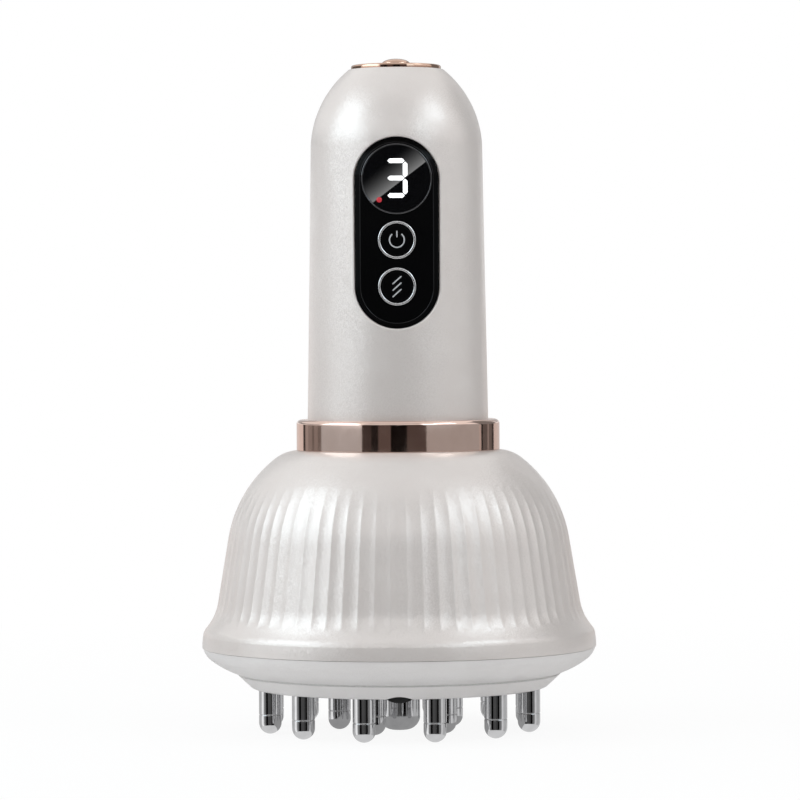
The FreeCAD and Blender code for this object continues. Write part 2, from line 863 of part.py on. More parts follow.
def control_panel():
    """Flat black panel with bevelled border, a step for the lens and a hole for each key."""
    half = panel_width / 2
    bevel_rear = panel_face + panel_bevel_depth
    slab = stadium(half, level_level, display_level, bevel_rear, panel_rear)
    bevel = Part.makeLoft([
        stadium_wire(half - panel_bevel_width, level_level, display_level, panel_face),
        stadium_wire(half, level_level, display_level, bevel_rear),
    ], True, True)
    panel = slab.fuse(bevel).removeSplitter()
    lens_rear = panel_face - lens_proud + lens_thickness
    holes = [peg(lens_radius + slip, panel_face - overrun, lens_rear, display_level)]
    holes.append(peg(lens_radius - lens_ledge, panel_face - overrun, panel_rear + overrun, display_level))
    for z in (power_level, level_level):
        holes.append(peg(ring_radius + shaft_play, panel_face - overrun, panel_rear + overrun, z))
    return panel.cut(holes)


def display_lens():
    """Round window with a small bevel on its front edge."""
    front = panel_face - lens_proud
    disc = peg(lens_radius, front + lens_edge, front + lens_thickness, display_level)
    front_point = V(0, front, display_level)
    edge = Part.makeCone(lens_radius - lens_edge, lens_radius, lens_edge, front_point, rearward)
    return disc.fuse(edge).removeSplitter()


def key_ring(z):
    """Polished ring round a key, with a rounded front edge."""
    front = panel_face - ring_proud
    centre = (ring_radius - ring_round, front + ring_round)
    inner_centre = (ring_bore + ring_round, front + ring_round)
    outline = [
        bow(centre, ring_round, 0, -full_turn / 4),
        line((centre[0], front), (inner_centre[0], front)),
        bow(inner_centre, ring_round, -full_turn / 4, -full_turn / 2),
    ]
    side = [
        (ring_bore, inner_centre[1]),
        (ring_bore, ring_rear),
        (ring_radius, ring_rear),
        (ring_radius, centre[1]),
    ]
    ring = turned(outline + path(side))
    ring.rotate(origin, V(1, 0, 0), -full_turn / 4)
    return ring.translated(V(0, 0, z))


def key_button(z):
    """Flat key with a bevelled edge, a flange that keeps it in its ring, and a stem to the switch."""
    front = panel_face - button_proud
    edge = Part.makeCone(button_radius - button_edge, button_radius, button_edge, V(0, front, z), rearward)
    body = peg(button_radius, front + button_edge, flange_front + flange_thickness, z)
    flange = peg(flange_radius, flange_front, flange_front + flange_thickness, z)
    stem = peg(key_stem_radius, flange_front, plunger_tip, z)
    return joined([body, edge, flange, stem])


def end_cap():
    """Polished disc on the handle's top, with a skirt in the shell that carries the key's board."""
    round_centre = (cap_radius - cap_round, cap_seat + cap_thickness - cap_round)
    top = cap_seat + cap_thickness
    bore = top_button_radius + slip
    skirt_bore = cap_skirt_radius - cap_skirt_wall
    side = [
        (cap_radius - cap_round, top),
        (bore, top),
        (bore, cap_seat),
        (skirt_bore, cap_seat),
        (skirt_bore, top_switch_low),
        (cap_skirt_radius, top_switch_low),
        (cap_skirt_radius, cap_seat),
        (cap_radius, cap_seat),
        (cap_radius, round_centre[1]),
    ]
    return turned([bow(round_centre, cap_round, 0, full_turn / 4)] + path(side))


def top_button():
    """Domed key with a flange under the cap and a stem to its switch."""
    top = cap_seat + cap_thickness + top_button_height
    shoulder = cap_seat + cap_thickness + top_button_shoulder
    dome = tangent_bow((0, top), 0, (top_button_radius, shoulder))
    side = [
        (0, top),
        (0, top_plunger_tip),
        (key_stem_radius, top_plunger_tip),
        (key_stem_radius, top_flange_low),
        (top_flange_radius, top_flange_low),
        (top_flange_radius, top_flange_high),
        (top_button_radius, top_flange_high),
        (top_button_radius, shoulder),
    ]
    return turned([dome] + path(side))


def top_switch():
    body = block(switch_half_width, -switch_half_width, switch_half_width, top_switch_low, top_switch_high)
    hole_low = top_switch_high - plunger_in - plunger_room
    return body.cut(post(plunger_radius + slip, hole_low, top_switch_high + overrun))


pieces = {
    "centre_pin": centre_massage_pin(),
    "pin_plate": pin_plate(),
    "contact_plate": contact_plate(),
    "pin_nuts": pin_nuts(),
    "plate_seal": plate_seal(),
    "bottom_cover": bottom_cover(),
    "cover_screws": screws_at(post_spots, web_low, cover_web + screw_bite),
    "head_shell": head_shell(),
    "motor_housing": motor_housing(),
    "motor_cushion": tube(housing_bore - shaft_play, motor_radius + shaft_play, motor_low, motor_high),
    "vibration_motor": vibration_motor(),
    "motor_retainer": motor_retainer(),
    "retainer_screws": screws_at(lug_spots, retainer_low, retainer_thickness + screw_bite),
    "motor_shaft": post(shaft_radius, weight_low - shaft_spare, motor_low + shaft_depth),
    "eccentric_weight": eccentric_weight(),
    "neck_screws": screws_at(neck_screw_spots, motor_high, neck_screw_top - motor_high),
    "collar": collar(),
    "handle_shell": handle_shell(),
    "chassis": chassis(),
    "battery_cell": post(battery_radius, battery_low, battery_high, V(0, battery_offset, 0)),
    "battery_contacts": battery_contacts(),
    "charge_board": charge_board(),
    "charge_socket": charge_socket(),
    "main_board": main_board(),
    "board_screws": board_screws(),
    "display_module": display_module(),
    "power_switch": key_switch(power_level),
    "power_plunger": key_plunger(power_level),
    "level_switch": key_switch(level_level),
    "level_plunger": key_plunger(level_level),
    "control_panel": control_panel(),
    "display_lens": display_lens(),
    "power_ring": key_ring(power_level),
    "level_ring": key_ring(level_level),
    "power_button": key_button(power_level),
    "level_button": key_button(level_level),
    "end_cap": end_cap(),
    "top_board": post(cap_skirt_radius, top_board_low, top_switch_low),
    "top_switch": top_switch(),
    "top_plunger": post(plunger_radius, top_switch_high - plunger_in, top_plunger_tip),
    "top_button": top_button(),
}
for number, spot in enumerate(outer_spots, 1):
    pieces["outer_pin_%02d" % number] = massage_pin().translated(spot)
for number, spot in enumerate(inner_spots, 1):
    pieces["inner_pin_%02d" % number] = massage_pin().translated(spot)

os.makedirs("parts", exist_ok=True)
for name, shape in pieces.items():
    shape.exportStep("parts/%s.step" % name)
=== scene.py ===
"""Electric meridian brush, dressed for its picture. Metres, pin tips on z = 0, panel towards -Y."""
import bmesh
import bpy
from math import asin, pi, radians
from mathutils import Matrix, Vector


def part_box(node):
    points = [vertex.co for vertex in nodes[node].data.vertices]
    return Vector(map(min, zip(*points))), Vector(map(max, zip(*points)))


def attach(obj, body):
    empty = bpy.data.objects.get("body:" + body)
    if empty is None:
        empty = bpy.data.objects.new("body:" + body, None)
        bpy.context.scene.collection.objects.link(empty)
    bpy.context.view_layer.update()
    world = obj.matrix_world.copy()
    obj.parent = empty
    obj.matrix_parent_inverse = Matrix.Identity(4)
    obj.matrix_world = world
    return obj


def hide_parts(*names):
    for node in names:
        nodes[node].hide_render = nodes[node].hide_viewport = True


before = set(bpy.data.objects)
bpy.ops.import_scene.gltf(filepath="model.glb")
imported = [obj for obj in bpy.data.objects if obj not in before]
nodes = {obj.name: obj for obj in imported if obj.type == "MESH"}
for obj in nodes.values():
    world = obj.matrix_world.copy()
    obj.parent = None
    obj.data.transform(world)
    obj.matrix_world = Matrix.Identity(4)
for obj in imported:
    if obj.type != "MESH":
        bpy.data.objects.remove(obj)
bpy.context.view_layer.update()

# Massage pins: seventeen round-nosed steel rods and a wide domed one in the middle, turned on a
# lathe and polished bright, with one fine line cut round each rod. A stud on top of each goes up
# through the pin plate.
mm = 0.001
weld = 0.001 * mm
noise_reach = (0.3, 0.7)
pin_radius = 3.0 * mm
pin_line = 5.1 * mm
pin_line_half = 0.17 * mm
pin_line_floor = 0.4 * pin_line_half
pin_line_depth = 0.13 * mm
pin_edge = 0.04 * mm
pin_mark_pitch = 2.0 * mm
middle_pin_radius = 5.5 * mm
middle_pin_round = 3.8 * mm
middle_pin_edge = 0.12 * mm
stud_radius = 1.25 * mm
stud_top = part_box("outer_pin_01")[1].z
pin_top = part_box("pin_plate")[0].z
pin_nodes = ["outer_pin_%02d" % number for number in range(1, 13)]
pin_nodes += ["inner_pin_%02d" % number for number in range(1, 6)]


def lathe_cut(shape, start, *stops):
    """Draws straight cuts of a lathe outline from point to point, each a radius and a height."""
    for radius, height in stops:
        start = bmesh.ops.extrude_vert_indiv(shape, verts=[start])["verts"][0]
        start.co = (radius, 0, height)
    return start


def lathe_round(shape, start, centre, steps):
    """Swings the outline's last point a quarter turn round a centre, from outwards to upwards."""
    middle = Vector((centre[0], 0, centre[1]))
    swing = Matrix.Rotation(radians(-90) / steps, 3, "Y")
    for step in range(steps):
        start = bmesh.ops.extrude_vert_indiv(shape, verts=[start])["verts"][0]
        bmesh.ops.rotate(shape, verts=[start], cent=middle, matrix=swing)
    return start


def turned(shape, steps):
    """Spins a lathe outline round the Z axis into a closed skin."""
    bmesh.ops.spin(shape, geom=shape.verts[:] + shape.edges[:], cent=(0, 0, 0), axis=(0, 0, 1),
                   angle=2 * pi, steps=steps, use_merge=True)
    bmesh.ops.remove_doubles(shape, verts=shape.verts, dist=weld)
    bmesh.ops.recalc_face_normals(shape, faces=shape.faces)


def in_scene(shape, name, finish):
    """Makes a finished shape an object of the scene."""
    mesh = bpy.data.meshes.new(name)
    shape.to_mesh(mesh)
    shape.free()
    mesh.materials.append(finish)
    thing = bpy.data.objects.new(name, mesh)
    bpy.context.scene.collection.objects.link(thing)
    return thing


def made_piece(shape, name, body, finish, slot, *stands_for):
    """Makes a shape a smooth piece that rides on a body and may stand for CAD nodes."""
    piece = in_scene(shape, name, finish)
    piece.data.shade_smooth()
    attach(piece, body)
    if stands_for:
        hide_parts(*stands_for)
    return piece


def broken_edges(piece, width):
    """Takes the sharpness off every hard edge, as polishing or moulding does."""
    edge = piece.modifiers.new("broken edges", "BEVEL")
    edge.width = width
    edge.segments = 3
    edge.limit_method = "ANGLE"
    edge.angle_limit = radians(28)
    edge.harden_normals = True


def new_finish(name, colour, roughness, metallic=0.0):
    """Starts a finish, and gives its tree, its shader and the piece's coordinates with it."""
    finish = bpy.data.materials.new(name)
    finish.use_nodes = True
    tree = finish.node_tree
    shader = tree.nodes["Principled BSDF"]
    shader.inputs["Base Color"].default_value = (*colour, 1)
    shader.inputs["Metallic"].default_value = metallic
    shader.inputs["Roughness"].default_value = roughness
    place = tree.nodes.new("ShaderNodeTexCoord").outputs["Object"]
    return finish, tree, shader, place


def clouded(tree, place, grain, detail=2.0):
    """Soft noise with clouds of about the grain's size."""
    noise = tree.nodes.new("ShaderNodeTexNoise")
    noise.inputs["Scale"].default_value = 1 / grain
    noise.inputs["Detail"].default_value = detail
    tree.links.new(place, noise.inputs["Vector"])
    return noise.outputs["Fac"]


def ranged(tree, value, old, new):
    """Carries a value over from one range to another."""
    reach = tree.nodes.new("ShaderNodeMapRange")
    for socket, end in zip(("From Min", "From Max", "To Min", "To Max"), (*old, *new)):
        reach.inputs[socket].default_value = end
    tree.links.new(value, reach.inputs["Value"])
    return reach.outputs["Result"]


def uneven_gloss(tree, shader, noise, low, high):
    """Lets noise vary how rough the surface is."""
    gloss = ranged(tree, noise, noise_reach, (low, high))
    tree.links.new(gloss, shader.inputs["Roughness"])


def uneven_colour(tree, shader, noise, low, high):
    """Lets noise vary the surface between two shades."""
    blend = tree.nodes.new("ShaderNodeValToRGB")
    for number, colour in enumerate((low, high)):
        blend.color_ramp.elements[number].position = noise_reach[number]
        blend.color_ramp.elements[number].color = (*colour, 1)
    tree.links.new(noise, blend.inputs["Fac"])
    tree.links.new(blend.outputs["Color"], shader.inputs["Base Color"])


def uneven_height(tree, shader, noise, depth, strength):
    """Lets noise raise the surface by a depth."""
    bump = tree.nodes.new("ShaderNodeBump")
    bump.inputs["Distance"].default_value = depth
    bump.inputs["Strength"].default_value = strength
    tree.links.new(noise, bump.inputs["Height"])
    tree.links.new(bump.outputs["Normal"], shader.inputs["Normal"])


polished_steel, tree, shader, place = new_finish("polished_steel", (0.70, 0.70, 0.71), 0.08, 1.0)
smears = clouded(tree, place, 2.5 * mm, 4.0)
uneven_gloss(tree, shader, smears, 0.04, 0.09)
uneven_colour(tree, shader, smears, (0.66, 0.66, 0.67), (0.74, 0.74, 0.75))
lathe_marks = tree.nodes.new("ShaderNodeTexWave")
lathe_marks.bands_direction = "Z"
lathe_marks.inputs["Scale"].default_value = 1 / pin_mark_pitch
lathe_marks.inputs["Distortion"].default_value = 0.6
tree.links.new(place, lathe_marks.inputs["Vector"])
uneven_height(tree, shader, lathe_marks.outputs["Fac"], 0.003 * mm, 0.15)

for number, node in enumerate(pin_nodes, 1):
    low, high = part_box(node)
    shape = bmesh.new()
    tip = shape.verts.new((0, 0, 0))
    side = lathe_round(shape, tip, (0, pin_radius), steps=14)
    lathe_cut(shape, side, (pin_radius, pin_line - pin_line_half),
              (pin_radius - pin_line_depth, pin_line - pin_line_floor),
              (pin_radius - pin_line_depth, pin_line + pin_line_floor),
              (pin_radius, pin_line + pin_line_half), (pin_radius, pin_top),
              (stud_radius, pin_top), (stud_radius, stud_top), (0, stud_top))
    turned(shape, steps=48)
    bmesh.ops.translate(shape, verts=shape.verts,
                        vec=((low.x + high.x) / 2, (low.y + high.y) / 2, 0))
    pin = made_piece(shape, "bright_pin_%02d" % number, "housing", polished_steel,
                     "polished_steel", node)
    broken_edges(pin, pin_edge)

nose_flat = middle_pin_radius - middle_pin_round
shape = bmesh.new()
tip = shape.verts.new((0, 0, 0))
side = lathe_cut(shape, tip, (nose_flat, 0))
side = lathe_round(shape, side, (nose_flat, middle_pin_round), steps=16)
lathe_cut(shape, side, (middle_pin_radius, pin_top), (stud_radius, pin_top),
          (stud_radius, stud_top), (0, stud_top))
turned(shape, steps=72)
middle_pin = made_piece(shape, "bright_pin_middle", "housing", polished_steel,
                        "polished_steel", "centre_pin")
broken_edges(middle_pin, middle_pin_edge)

# Pin plate: the shallow moulded dish that the pins stand on, sprayed in a plainer lacquer than the
# pearl of the head. A black piece fills the small notch in its front edge, by which it is prised
# off: it is painted shade, standing for the shadow under the plate seen through the notch.
flake_size = 0.20 * mm
flake_lean = 0.09
cover_metallic = 0.08
plug_half = 3.3 * mm
plug_rise = 0.76 * mm
plug_hang = 0.95 * mm
plug_depth = 3.0 * mm
plug_set_back = 4.2 * mm
plug_edge = 0.1 * mm
plug_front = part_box("pin_plate")[0].y + plug_set_back


def worked_out(tree, kind, operation, *terms):
    """Takes one step of sums, on terms that are fixed or come from other nodes."""
    step = tree.nodes.new(kind)
    step.operation = operation
    for socket, term in zip(step.inputs, terms):
        if isinstance(term, bpy.types.NodeSocket):
            tree.links.new(term, socket)
        else:
            socket.default_value = term
    return step.outputs


def toned_copy(finish, name, low, high):
    """Copies a finish with two other shades."""
    copy = finish.copy()
    copy.name = name
    ramp = copy.node_tree.nodes["Color Ramp"].color_ramp
    for number, colour in enumerate((low, high)):
        ramp.elements[number].color = (*colour, 1)
    return copy


def dressed(finish, *names):
    """Puts a finish on CAD pieces whose shape is already right."""
    for name in names:
        nodes[name].data.materials.clear()
        nodes[name].data.materials.append(finish)


def drawn_out(shape, faces, way):
    """Draws flat faces out into a solid, and gives the corners of the new end."""
    grown = bmesh.ops.extrude_face_region(shape, geom=faces)["geom"]
    corners = [part for part in grown if isinstance(part, bmesh.types.BMVert)]
    bmesh.ops.translate(shape, verts=corners, vec=way)
    return corners


pearl_lacquer, tree, shader, place = new_finish("pearl_lacquer", (0.763, 0.698, 0.664), 0.34, 0.30)
shader.inputs["Coat Weight"].default_value = 0.25
shader.inputs["Coat Roughness"].default_value = 0.18
shader.inputs["Specular IOR Level"].default_value = 0.5
mottle = clouded(tree, place, 9.0 * mm, 3.0)
uneven_colour(tree, shader, mottle, (0.751, 0.684, 0.650), (0.775, 0.712, 0.678))
uneven_gloss(tree, shader, clouded(tree, place, 0.6 * mm), 0.31, 0.37)
flakes = tree.nodes.new("ShaderNodeTexVoronoi")
flakes.inputs["Scale"].default_value = 1 / flake_size
tree.links.new(place, flakes.inputs["Vector"])
lean = worked_out(tree, "ShaderNodeVectorMath", "MULTIPLY_ADD", flakes.outputs["Color"],
                  (2 * flake_lean,) * 3, (-flake_lean,) * 3)["Vector"]
skin = tree.nodes.new("ShaderNodeNewGeometry").outputs["Normal"]
tilted = worked_out(tree, "ShaderNodeVectorMath", "ADD", skin, lean)["Vector"]
facing = worked_out(tree, "ShaderNodeVectorMath", "NORMALIZE", tilted)["Vector"]
tree.links.new(facing, shader.inputs["Normal"])

cover_lacquer = toned_copy(pearl_lacquer, "cover_lacquer", (0.758, 0.716, 0.698),
                           (0.783, 0.741, 0.722))
cover_shader = cover_lacquer.node_tree.nodes["Principled BSDF"]
cover_shader.inputs["Metallic"].default_value = cover_metallic
dressed(cover_lacquer, "pin_plate")

# Painted shade: a near-black finish for the piece in the notch, in place of the shadow there.
painted_shade_black, tree, shader, place = new_finish("painted_shade_black", (0.010, 0.010, 0.010), 0.55)
uneven_height(tree, shader, clouded(tree, place, 0.3 * mm, 3.0), 0.01 * mm, 0.2)

shape = bmesh.new()
tip = shape.verts.new((-plug_half, plug_front, pin_top))
for rise, way in ((plug_rise, 1), (plug_hang, -1)):
    bow = (plug_half ** 2 + rise ** 2) / (2 * rise)
    bmesh.ops.spin(shape, geom=[tip], cent=(0, plug_front, pin_top + way * (rise - bow)),
                   axis=(0, 1, 0), angle=way * 2 * asin(plug_half / bow), steps=16)
bmesh.ops.remove_doubles(shape, verts=shape.verts, dist=weld)
bmesh.ops.edgeloop_fill(shape, edges=shape.edges[:])
drawn_out(shape, shape.faces[:], (0, plug_depth, 0))
bmesh.ops.recalc_face_normals(shape, faces=shape.faces)
plug = made_piece(shape, "notch_shade_plug", "housing", painted_shade_black, "seal_rubber")
broken_edges(plug, plug_edge)

# Contact plate and nuts: a thin brass sheet that joins the studs, and a plated steel nut on each of
# them. Both lie hidden between the pin plate and the bottom cover.
contact_brass, tree, shader, place = new_finish("contact_brass", (0.72, 0.60, 0.36), 0.3, 1.0)
uneven_gloss(tree, shader, clouded(tree, place, 3.0 * mm), 0.24, 0.40)
plated_steel, tree, shader, place = new_finish("plated_steel", (0.55, 0.55, 0.56), 0.35, 1.0)
uneven_gloss(tree, shader, clouded(tree, place, 1.0 * mm), 0.28, 0.45)
dressed(contact_brass, "contact_plate")
dressed(plated_steel, "pin_nuts")

# Plate seal: a flat ring of soft pale silicone, pressed between the pin plate and the cover so that
# no water gets to the studs.
seal_silicone, tree, shader, place = new_finish("seal_silicone", (0.66, 0.64, 0.62), 0.6)
dust = clouded(tree, place, 0.8 * mm, 4.0)
uneven_colour(tree, shader, dust, (0.62, 0.60, 0.58), (0.69, 0.67, 0.65))
uneven_height(tree, shader, dust, 0.02 * mm, 0.3)
dressed(seal_silicone, "plate_seal")

# Bottom cover and head shell: the two mouldings of the fluted head, the cover in the pin plate's
# plainer lacquer and the shell in pearl. They meet at the fine seam under the lip, and screws
# through the cover's web, hidden by the pin plate, hold them together.
dressed(cover_lacquer, "bottom_cover")
dressed(pearl_lacquer, "head_shell")
dressed(plated_steel, "cover_screws")

# Motor and its holder: a round motor in a moulded cup under the head's roof, held in a soft cushion
# by a screwed retainer. A half-round weight of pressed metal on its shaft makes the pins shake.
frame_plastic, tree, shader, place = new_finish("frame_plastic", (0.22, 0.22, 0.23), 0.5)
spark = clouded(tree, place, 0.4 * mm, 3.0)
uneven_colour(tree, shader, spark, (0.20, 0.20, 0.21), (0.24, 0.24, 0.25))
uneven_height(tree, shader, spark, 0.03 * mm, 0.3)
motor_can, tree, shader, place = new_finish("motor_can", (0.62, 0.62, 0.63), 0.3, 1.0)
uneven_gloss(tree, shader, clouded(tree, place, 1.5 * mm), 0.22, 0.36)
weight_metal, tree, shader, place = new_finish("weight_metal", (0.42, 0.42, 0.43), 0.5, 1.0)
pressed = clouded(tree, place, 0.5 * mm, 4.0)
uneven_gloss(tree, shader, pressed, 0.42, 0.60)
uneven_height(tree, shader, pressed, 0.02 * mm, 0.3)
dressed(frame_plastic, "motor_housing", "motor_retainer")
dressed(seal_silicone, "motor_cushion")
dressed(motor_can, "vibration_motor")
dressed(weight_metal, "eccentric_weight")
dressed(plated_steel, "motor_shaft", "retainer_screws")

# Collar: a band of plastic plated in rose gold to a mirror, pushed over the handle's foot until it
# sits on the head's roof.
collar_radius = 27.1 * mm
collar_bore = 24.25 * mm
collar_round = 1.2 * mm
collar_edge = 0.15 * mm
low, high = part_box("collar")

rose_gold, tree, shader, place = new_finish("rose_gold", (0.80, 0.60, 0.52), 0.07, 1.0)
haze = clouded(tree, place, 4.0 * mm, 4.0)
uneven_gloss(tree, shader, haze, 0.05, 0.11)
uneven_colour(tree, shader, haze, (0.79, 0.59, 0.51), (0.82, 0.62, 0.54))

shape = bmesh.new()
foot = shape.verts.new((collar_bore, 0, low.z))
side = lathe_cut(shape, foot, (collar_radius, low.z), (collar_radius, high.z - collar_round))
side = lathe_round(shape, side, (collar_radius - collar_round, high.z - collar_round), steps=10)
side = lathe_cut(shape, side, (collar_bore, high.z))
shape.edges.new((side, foot))
turned(shape, steps=160)
band = made_piece(shape, "collar_band", "housing", rose_gold, "rose_gold", "collar")
broken_edges(band, collar_edge)

# Handle shell: one bullet-shaped moulding in pearl lacquer, with a soft-edged pocket for the
# control panel in front, a charging slot behind and an opening for the end cap on top. Screws in
# its neck hold the handle to the head.
dressed(pearl_lacquer, "handle_shell")
dressed(plated_steel, "neck_screws")

# Battery and boards: a shrink-wrapped round cell on a dark moulded frame, and green glass-fibre
# boards for the panel, the charging inlet and the key on top. Nothing of them shows from outside.
cell_wrap, tree, shader, place = new_finish("cell_wrap", (0.10, 0.22, 0.45), 0.3)
creases = clouded(tree, place, 6.0 * mm)
uneven_colour(tree, shader, creases, (0.09, 0.20, 0.42), (0.11, 0.24, 0.48))
board_green, tree, shader, place = new_finish("board_green", (0.05, 0.22, 0.12), 0.4)
weave = clouded(tree, place, 0.5 * mm)
uneven_colour(tree, shader, weave, (0.04, 0.19, 0.10), (0.06, 0.25, 0.14))
switch_plastic, tree, shader, place = new_finish("switch_plastic", (0.10, 0.10, 0.10), 0.5)
uneven_gloss(tree, shader, clouded(tree, place, 0.5 * mm), 0.42, 0.58)
dressed(frame_plastic, "chassis")
dressed(cell_wrap, "battery_cell")
dressed(contact_brass, "battery_contacts")
dressed(board_green, "main_board", "charge_board", "top_board")
dressed(plated_steel, "board_screws")
dressed(switch_plastic, "power_switch", "level_switch", "top_switch", "power_plunger",
        "level_plunger", "top_plunger", "display_module")

# Charging inlet: a drawn steel shell in the handle's back, with a flat contact tongue whose
# gold-plated strips lie on both of its faces.
strip_count = 8
strip_width = 0.34 * mm
strip_length = 4.0 * mm
strip_rise = 0.03 * mm
strip_edge = 0.02 * mm
strip_pitch = 0.65 * mm
strip_set_back = 1.0 * mm
tongue_half = 0.35 * mm
low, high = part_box("charge_socket")
strip_middle = high.y - strip_set_back - strip_length / 2
inlet_level = (low.z + high.z) / 2
dressed(motor_can, "charge_socket")

contact_gold, tree, shader, place = new_finish("contact_gold", (0.83, 0.62, 0.30), 0.25, 1.0)
uneven_gloss(tree, shader, clouded(tree, place, 0.8 * mm), 0.20, 0.32)

shape = bmesh.new()
for level in (inlet_level - tongue_half, inlet_level + tongue_half):
    for number in range(strip_count):
        across = (number - (strip_count - 1) / 2) * strip_pitch
        strip = bmesh.ops.create_cube(shape, size=1)["verts"]
        bmesh.ops.scale(shape, verts=strip, vec=(strip_width, strip_length, 2 * strip_rise))
        bmesh.ops.translate(shape, verts=strip, vec=(across, strip_middle, level))
bmesh.ops.bevel(shape, geom=shape.edges[:], offset=strip_edge, segments=2, profile=0.5,
                affect="EDGES", material=-1)
made_piece(shape, "inlet_contacts", "housing", contact_gold, "contact_metal")

# Control panel: a flat black moulding with a bevelled border, lacquered to a deep gloss and glued
# into the handle's pocket. A fine dark metal line runs round its face, where the bevel starts.
panel_bevel = 1.3 * mm
panel_line_radius = 0.1 * mm
panel_line_proud = 0.06 * mm
low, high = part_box("control_panel")
panel_turn = (high.x - low.x) / 2
panel_reach = (high.z - low.z) / 2 - panel_turn
panel_level = (low.z + high.z) / 2


def faced_forward(shape, level):
    """Lays a turned shape on its back, its top towards +Y, and lifts its axis to a level."""
    bmesh.ops.rotate(shape, verts=shape.verts, cent=(0, 0, 0),
                     matrix=Matrix.Rotation(radians(-90), 3, "X"))
    bmesh.ops.translate(shape, verts=shape.verts, vec=(0, 0, level))


def turned_wire(wire_radius, ring_radius, height):
    """Bends round wire into a flat ring, with its middle at a height."""
    shape = bmesh.new()
    bmesh.ops.create_circle(shape, radius=wire_radius, segments=16)
    bmesh.ops.rotate(shape, verts=shape.verts, cent=(0, 0, 0),
                     matrix=Matrix.Rotation(radians(90), 3, "X"))
    bmesh.ops.translate(shape, verts=shape.verts, vec=(ring_radius, 0, height))
    turned(shape, steps=96)
    return shape


panel_black, tree, shader, place = new_finish("panel_black", (0.0024, 0.0024, 0.0026), 0.12)
shader.inputs["Specular IOR Level"].default_value = 0.04
uneven_gloss(tree, shader, clouded(tree, place, 5.0 * mm, 5.0), 0.09, 0.18)
dressed(panel_black, "control_panel")
dark_nickel, tree, shader, place = new_finish("dark_nickel", (0.045, 0.045, 0.048), 0.15, 1.0)
uneven_gloss(tree, shader, clouded(tree, place, 2.0 * mm, 3.0), 0.11, 0.20)

shape = turned_wire(panel_line_radius, panel_turn - panel_bevel,
                    low.y + panel_line_radius - panel_line_proud)
for end in (1, -1):
    half = [point for point in shape.verts if point.co.y * end > weld]
    bmesh.ops.translate(shape, verts=half, vec=(0, end * panel_reach, 0))
faced_forward(shape, panel_level)
made_piece(shape, "panel_line", "housing", dark_nickel, "panel_black")

# Display lens: a round window of smoked clear plastic with a fine bevel, polished on its face and
# pressed into the panel a hair proud of it.
lens_radius = 9.3 * mm
lens_bevel = 0.4 * mm
lens_edge = 0.08 * mm
low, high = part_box("display_lens")
lens_front = low.y
display_level = (low.z + high.z) / 2

smoked_lens, tree, shader, place = new_finish("smoked_lens", (0.0035, 0.0035, 0.0040), 0.004)
shader.inputs["Specular IOR Level"].default_value = 0.5
uneven_gloss(tree, shader, clouded(tree, place, 6.0 * mm, 4.0), 0.002, 0.007)

shape = bmesh.new()
middle = shape.verts.new((0, 0, lens_front))
lathe_cut(shape, middle, (lens_radius - lens_bevel, lens_front),
          (lens_radius, lens_front + lens_bevel), (lens_radius, high.y), (0, high.y))
turned(shape, steps=96)
faced_forward(shape, display_level)
lens = made_piece(shape, "display_window", "housing", smoked_lens, "lens_black", "display_lens")
broken_edges(lens, lens_edge)

# Lens trim: a fine nickel-plated wire that covers the joint between window and panel and is pressed
# in with the window.
trim_radius = 0.2 * mm

bright_nickel, tree, shader, place = new_finish("bright_nickel", (0.13, 0.13, 0.135), 0.10, 1.0)
uneven_gloss(tree, shader, clouded(tree, place, 2.0 * mm, 3.0), 0.07, 0.13)

shape = turned_wire(trim_radius, lens_radius - trim_radius, lens_front + trim_radius)
faced_forward(shape, display_level)
made_piece(shape, "lens_trim", "housing", bright_nickel, "chrome")

# Lit figure: the number of the massage level in five pointed strokes and a small red charging
# light, which shine through the window.
figure_half = 0.60 * mm
figure_left = -2.38 * mm
figure_right = 2.12 * mm
figure_side = 2.26 * mm
figure_top, figure_waist, figure_foot = 4.70 * mm, 0.17 * mm, -4.38 * mm
figure_gap = 0.22 * mm
figure_rounding = 0.1 * mm
light_rise = 0.03 * mm
light_front = lens_front - light_rise
charge_light_radius = 0.72 * mm
charge_light_left = -4.57 * mm
charge_light_drop = 5.48 * mm

white_light, tree, shader, place = new_finish("white_light", (0.9, 0.9, 0.9), 0.4)
shader.inputs["Emission Color"].default_value = (1.0, 1.0, 1.0, 1)
shader.inputs["Emission Strength"].default_value = 1.0
red_light, tree, shader, place = new_finish("red_light", (0.30, 0.01, 0.02), 0.4)
shader.inputs["Emission Color"].default_value = (0.34, 0.012, 0.02, 1)
shader.inputs["Emission Strength"].default_value = 0.8


def flat_plate(shape, corners, front, back, rounding):
    """Adds a plate that faces forward, from its corners as widths and levels, and rounds them."""
    rim = [shape.verts.new((x, front, z)) for x, z in corners]
    behind = drawn_out(shape, [shape.faces.new(rim)], (0, back - front, 0))
    uprights = [edge for vert in rim for edge in vert.link_edges if edge.other_vert(vert) in behind]
    bmesh.ops.bevel(shape, geom=uprights, offset=rounding, segments=4, profile=0.5,
                    affect="EDGES", material=-1)
    bmesh.ops.recalc_face_normals(shape, faces=shape.faces)


def pointed_bar(start, end, half):
    """Corners of one stroke of a lit figure, which runs from tip to tip."""
    start = Vector(start)
    end = Vector(end)
    along = (end - start).normalized() * half
    across = Vector((-along.y, along.x))
    return [start, start + along - across, end - along - across,
            end, end - along + across, start + along + across]


strokes = [((figure_left, level), (figure_right, level))
           for level in (figure_top, figure_waist, figure_foot)]
strokes += [((figure_side, lower + figure_gap), (figure_side, upper - figure_gap))
            for lower, upper in ((figure_waist, figure_top), (figure_foot, figure_waist))]
shape = bmesh.new()
for start, end in strokes:
    flat_plate(shape, pointed_bar(start, end, figure_half), light_front, lens_front,
               figure_rounding)
bmesh.ops.translate(shape, verts=shape.verts, vec=(0, 0, display_level))
made_piece(shape, "lit_figure", "housing", white_light, "lens_black")

